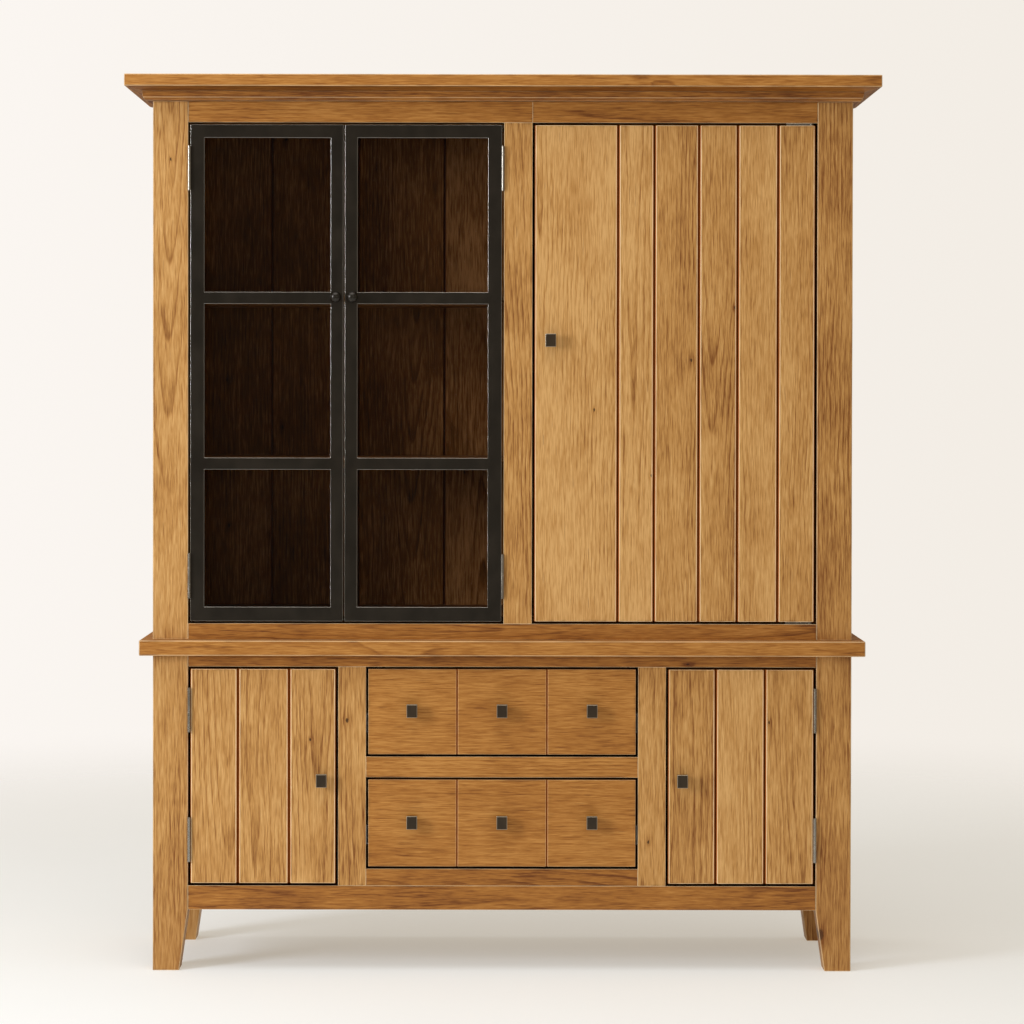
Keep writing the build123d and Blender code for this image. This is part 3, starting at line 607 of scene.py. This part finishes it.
def new_piece(name, points, faces, material, smooth=True):
    mesh = bpy.data.meshes.new(name)
    mesh.from_pydata([tuple(p) for p in points], [], faces)
    mesh.polygons.foreach_set("use_smooth", [smooth] * len(mesh.polygons))
    mesh.materials.append(material)
    piece = bpy.data.objects.new(name, mesh)
    bpy.context.scene.collection.objects.link(piece)
    return piece


def finish(piece, body, slot):
    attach(piece, body)


# Arris radius in mm and depth of wear in mm for each dressed node
DRESSING = {
    "base_front_posts": (2.0, 0.5),
    "base_back_posts": (2.0, 0.5),
    "base_bottom_rail": (0.7, 0.25),
    "base_top_rail": (0.7, 0.25),
    "base_drawer_rails": (0.7, 0.25),
    "base_middle_stiles": (0.7, 0.25),
    "base_side_rails": (0.9, 0.3),
    "base_side_panels": (0.8, 0.0),
    "base_partitions": (0.8, 0.0),
    "base_shelves": (1.2, 0.0),
    "base_back_rails": (1.0, 0.3),
    "base_back_boards": (0.4, 0.0),
    "base_floor_panel": (0.8, 0.0),
    "waist_top": (2.6, 0.6),
    "hutch_outer_stiles": (1.8, 0.4),
    "hutch_middle_stile": (0.7, 0.25),
    "hutch_bottom_rail": (0.7, 0.25),
    "hutch_top_rail": (0.7, 0.25),
    "hutch_side_frames": (0.9, 0.3),
    "hutch_side_panels": (0.8, 0.0),
    "hutch_partition": (0.8, 0.0),
    "hutch_floor_and_roof": (0.8, 0.0),
    "hutch_back_boards": (0.4, 0.0),
    "hutch_shelves": (1.2, 0.2),
    "crown_cap": (2.2, 0.5),
    "crown_mouldings": (0.8, 0.2),
    "door_stops": (0.8, 0.0),
    "plank_door_planks": (1.8, 0.2),
    "plank_door_battens": (1.0, 0.2),
    "base_door_left_planks": (1.8, 0.2),
    "base_door_left_battens": (1.0, 0.2),
    "base_door_right_planks": (1.8, 0.2),
    "base_door_right_battens": (1.0, 0.2),
    "upper_drawer_front": (1.2, 0.3),
    "lower_drawer_front": (1.2, 0.3),
    "upper_drawer_box": (0.8, 0.0),
    "lower_drawer_box": (0.8, 0.0),
    "glass_door_left_frame": (1.6, 0.0),
    "glass_door_right_frame": (1.6, 0.0),
    "plank_door_knob": (0.3, 0.0),
    "base_door_left_knob": (0.3, 0.0),
    "base_door_right_knob": (0.3, 0.0),
    "upper_drawer_knobs": (0.3, 0.0),
    "lower_drawer_knobs": (0.3, 0.0),
}
WELDED = ("glass_door_left_frame", "glass_door_right_frame")

for node_name, (radius, wear) in DRESSING.items():
    dress(node_name, radius * MM, wear * MM)

for node_name, item in frame["nodes"].items():
    if node_name not in DRESSING:
        item.data.materials.clear()
        item.data.materials.append(material_of(node_name))


# Screws: countersunk heads on hinge leaves, strike plates and the door battens

HEAD_STEPS = 14  # corners round a screw head
SLOT_SHARE = 0.13  # half the slot's width, as a share of the head's radius
SHORTEST_BUTT_LEAF = 50 * MM  # pivot leaves are lower than this, and get no screws


def screw_head(points, faces, centre, normal, turn, radius):
    """A slotted head: a low disc with two half-moons standing on it."""
    side = normal.orthogonal().normalized()
    frame_at = Matrix((side, normal.cross(side), normal)).transposed()
    spin = Matrix.Rotation(turn, 3, "Z")

    def solid(outline, low, high):
        start = len(points)
        for z in (low, high):
            for x, y in outline:
                points.append(centre + frame_at @ (spin @ Vector((x, y, z))))
        n = len(outline)
        faces.append([start + i for i in reversed(range(n))])
        faces.append([start + n + i for i in range(n)])
        for i in range(n):
            j = (i + 1) % n
            faces.append([start + i, start + j, start + n + j, start + n + i])

    def rim_point(angle, reach=radius):
        return reach * math.cos(angle), reach * math.sin(angle)

    solid([rim_point(2 * math.pi * i / HEAD_STEPS) for i in range(HEAD_STEPS)],
          -0.6 * MM, -0.25 * MM)
    lean = math.asin(SLOT_SHARE)
    half = HEAD_STEPS // 2
    for way in (1, -1):
        moon = []
        for i in range(half + 1):
            x, y = rim_point(lean + (math.pi - 2 * lean) * i / half, 0.98 * radius)
            moon.append((x, way * y))
        solid(moon if way > 0 else moon[::-1], -0.3 * MM, 0.12 * MM)


def screws(name, body, places, radius=3.4 * MM):
    """One piece of screw heads for a body. places holds (centre, normal) pairs."""
    rng = random.Random(name)
    points, faces = [], []
    for centre, normal in places:
        screw_head(points, faces, centre, normal, rng.uniform(0, math.pi), radius)
    heads = new_piece(name, points, faces, MATERIALS["hinge_steel"], smooth=False)
    finish(heads, body, "hinge_steel")


def leaf_screws(name):
    """Three screws down each butt hinge leaf of a node, on the side its barrel leans to."""
    places = []
    for points, _ in solids_of(name):
        low, high = extent(points)
        if high.z - low.z < SHORTEST_BUTT_LEAF:
            continue
        plate = [p for p in points if p.y > FRONT + 5 * MM]
        barrel = [p for p in points if p.y < FRONT - 3 * MM]
        plate_low, plate_high = extent(plate)
        barrel_low, barrel_high = extent(barrel)
        toward = math.copysign(1, barrel_low.x + barrel_high.x - plate_low.x - plate_high.x)
        x = plate_high.x if toward > 0 else plate_low.x
        for i, share in enumerate((0.14, 0.5, 0.86)):
            y = FRONT + (9 if i == 1 else 15) * MM
            z = plate_low.z + share * (plate_high.z - plate_low.z)
            places.append((Vector((x, y, z)), Vector((toward, 0, 0))))
    return places


def batten_screws(door):
    """Two screws through each batten into each plank."""
    places = []
    boards = [extent(points) for points, _ in solids_of(door + "_planks")]
    for points, _ in solids_of(door + "_battens"):
        low, high = extent(points)
        for left, right in boards:
            x0, x1 = max(left.x, low.x), min(right.x, high.x)
            for share_x, share_z in ((0.3, 0.28), (0.7, 0.72)):
                x = x0 + share_x * (x1 - x0)
                z = low.z + share_z * (high.z - low.z)
                places.append((Vector((x, high.y, z)), Vector((0, 1, 0))))
    return places


def strike_screws(door):
    """Two screws in the strike plate of a plank door."""
    places = []
    for points, _ in solids_of(door + "_fittings"):
        low, high = extent(points)
        if high.y - low.y < 3 * MM:
            for share in (0.22, 0.78):
                x = low.x + share * (high.x - low.x)
                places.append((Vector((x, high.y, (low.z + high.z) / 2)), Vector((0, 1, 0))))
    return places


screws("carcass_hinge_screws", "carcass", leaf_screws("hinge_frame_leaves"))
for door in ("glass_door_left", "glass_door_right"):
    screws(door + "_hinge_screws", door, leaf_screws(door + "_fittings"))
for door in ("plank_door", "base_door_left", "base_door_right"):
    screws(door + "_batten_screws", door, batten_screws(door), 3.8 * MM)
    screws(door + "_strike_screws", door, strike_screws(door), 2.4 * MM)
for door in ("base_door_left", "base_door_right"):
    screws(door + "_hinge_screws", door, leaf_screws(door + "_fittings"))


# The studio

FLOOR_R = 9.0
FLOOR_RINGS, FLOOR_SPOKES = 18, 72
FLOOR_FADE = (1.6, 5.2)  # how far out the floor starts and ends fading away
FLOOR_TONES = ((0.54, 0.59, 0.64, 1), (0.57, 0.62, 0.67, 1))
FLOOR_GLOW = (0.41, 0.375, 0.32, 1)  # the floor glows, painting light into its shadows and keeping it pale beside the background
BACKDROP = (srgb(251, 246, 241), srgb(243, 237, 229))  # left and right of the cabinet
BACKDROP_BLEND = 0.17  # how far to each side the two tones blend
AMBIENT = ((1.0, 0.87, 0.70, 1), 0.33)  # colour and strength of the light from all round


def make_floor():
    """A pale floor that glows a little, painting light into its shadows, and fades into the
    background away from the cabinet.
    """
    points, faces = [(0, 0, 0)], []
    for ring in range(1, FLOOR_RINGS + 1):
        reach = FLOOR_R * ring / FLOOR_RINGS
        for spoke in range(FLOOR_SPOKES):
            angle = 2 * math.pi * spoke / FLOOR_SPOKES
            points.append((reach * math.cos(angle), reach * math.sin(angle), 0))
    for spoke in range(FLOOR_SPOKES):
        following = (spoke + 1) % FLOOR_SPOKES
        faces.append([0, 1 + spoke, 1 + following])
        for ring in range(FLOOR_RINGS - 1):
            inner = 1 + ring * FLOOR_SPOKES
            outer = inner + FLOOR_SPOKES
            faces.append([inner + spoke, outer + spoke, outer + following, inner + following])
    g = Graph("pale_floor")
    place = g.node("NewGeometry").outputs["Position"]
    away = g.vector("LENGTH", place)
    speck = g.noise(place, (1.4, 1.4, 1.4), 3.0)
    tone = g.mix(speck, *FLOOR_TONES)
    # The floor's emission is painted light that lifts its shadows
    g.set(Base_Color=tone, Roughness=0.7, Specular_IOR_Level=0.1,
          Emission_Color=FLOOR_GLOW, Emission_Strength=1.0)
    clear = g.node("BsdfTransparent").outputs[0]
    blend = g.node("MixShader", {0: g.fade(away, *FLOOR_FADE), 1: g.shader.outputs[0], 2: clear})
    g.put(g.tree.nodes["Material Output"].inputs["Surface"], blend.outputs[0])
    floor = new_piece("floor", points, faces, g.material)


def make_world():
    """Off-white surroundings: what the camera sees is set apart from what lights the cabinet."""
    world = bpy.data.worlds.new("studio")
    bpy.context.scene.world = world
    world.use_nodes = True
    tree = world.node_tree
    tree.nodes.clear()
    put = tree.nodes.new
    out = put("ShaderNodeOutputWorld")
    mix = put("ShaderNodeMixShader")
    path = put("ShaderNodeLightPath")
    seen = put("ShaderNodeBackground")
    light = put("ShaderNodeBackground")
    direction = put("ShaderNodeTexCoord")
    axes = put("ShaderNodeSeparateXYZ")
    share = put("ShaderNodeMapRange")
    tone = put("ShaderNodeMix")
    tone.data_type = "RGBA"
    for index, colour in zip((6, 7), BACKDROP):
        tone.inputs[index].default_value = (*colour, 1)
    share.inputs[1].default_value = -BACKDROP_BLEND
    share.inputs[2].default_value = BACKDROP_BLEND
    light.inputs[0].default_value, light.inputs[1].default_value = AMBIENT
    for start, end in (
        (direction.outputs["Generated"], axes.inputs[0]),
        (axes.outputs[0], share.inputs[0]),
        (share.outputs[0], tone.inputs[0]),
        (tone.outputs[2], seen.inputs[0]),
        (path.outputs["Is Camera Ray"], mix.inputs[0]),
        (light.outputs[0], mix.inputs[1]),
        (seen.outputs[0], mix.inputs[2]),
        (mix.outputs[0], out.inputs[0]),
    ):
        tree.links.new(start, end)


def area_light(name, place, aim, size, watts, colour):
    """A soft rectangular lamp at a place, facing another."""
    data = bpy.data.lights.new(name, "AREA")
    data.shape = "RECTANGLE"
    data.size, data.size_y = size
    data.energy = watts
    data.color = colour
    lamp = bpy.data.objects.new(name, data)
    lamp.location = place
    lamp.rotation_euler = (Vector(aim) - Vector(place)).to_track_quat("-Z", "Y").to_euler()
    bpy.context.scene.collection.objects.link(lamp)


def make_camera():
    """A long lens in front of the cabinet, a little above its mid-height and nearly level."""
    data = bpy.data.cameras.new("camera")
    data.lens = 104.1
    data.sensor_width = 36.0
    data.shift_x, data.shift_y = 0.0161, -0.0803
    camera = bpy.data.objects.new("camera", data)
    camera.location = (-0.017, -7.31, 1.38)
    camera.rotation_euler = (math.radians(90 - 0.626), math.radians(-0.1), 0)
    bpy.context.scene.collection.objects.link(camera)
    bpy.context.scene.camera = camera


make_floor()
make_world()
make_camera()
centre = (0, 0, cad_box[1].z / 2)
area_light("key", (-4.6, -3.2, 2.3), centre, (1.4, 2.0), 174, (0.97, 0.99, 1.05))
area_light("fill", (2.5, -7.5, 2.6), centre, (4.0, 3.0), 22, (1.0, 0.93, 0.84))
area_light("top", (-0.6, -1.2, 5.4), (0, 0, 0), (4.5, 4.5), 156, (1.0, 0.98, 0.96))
bpy.context.scene.view_settings.view_transform = "Standard"
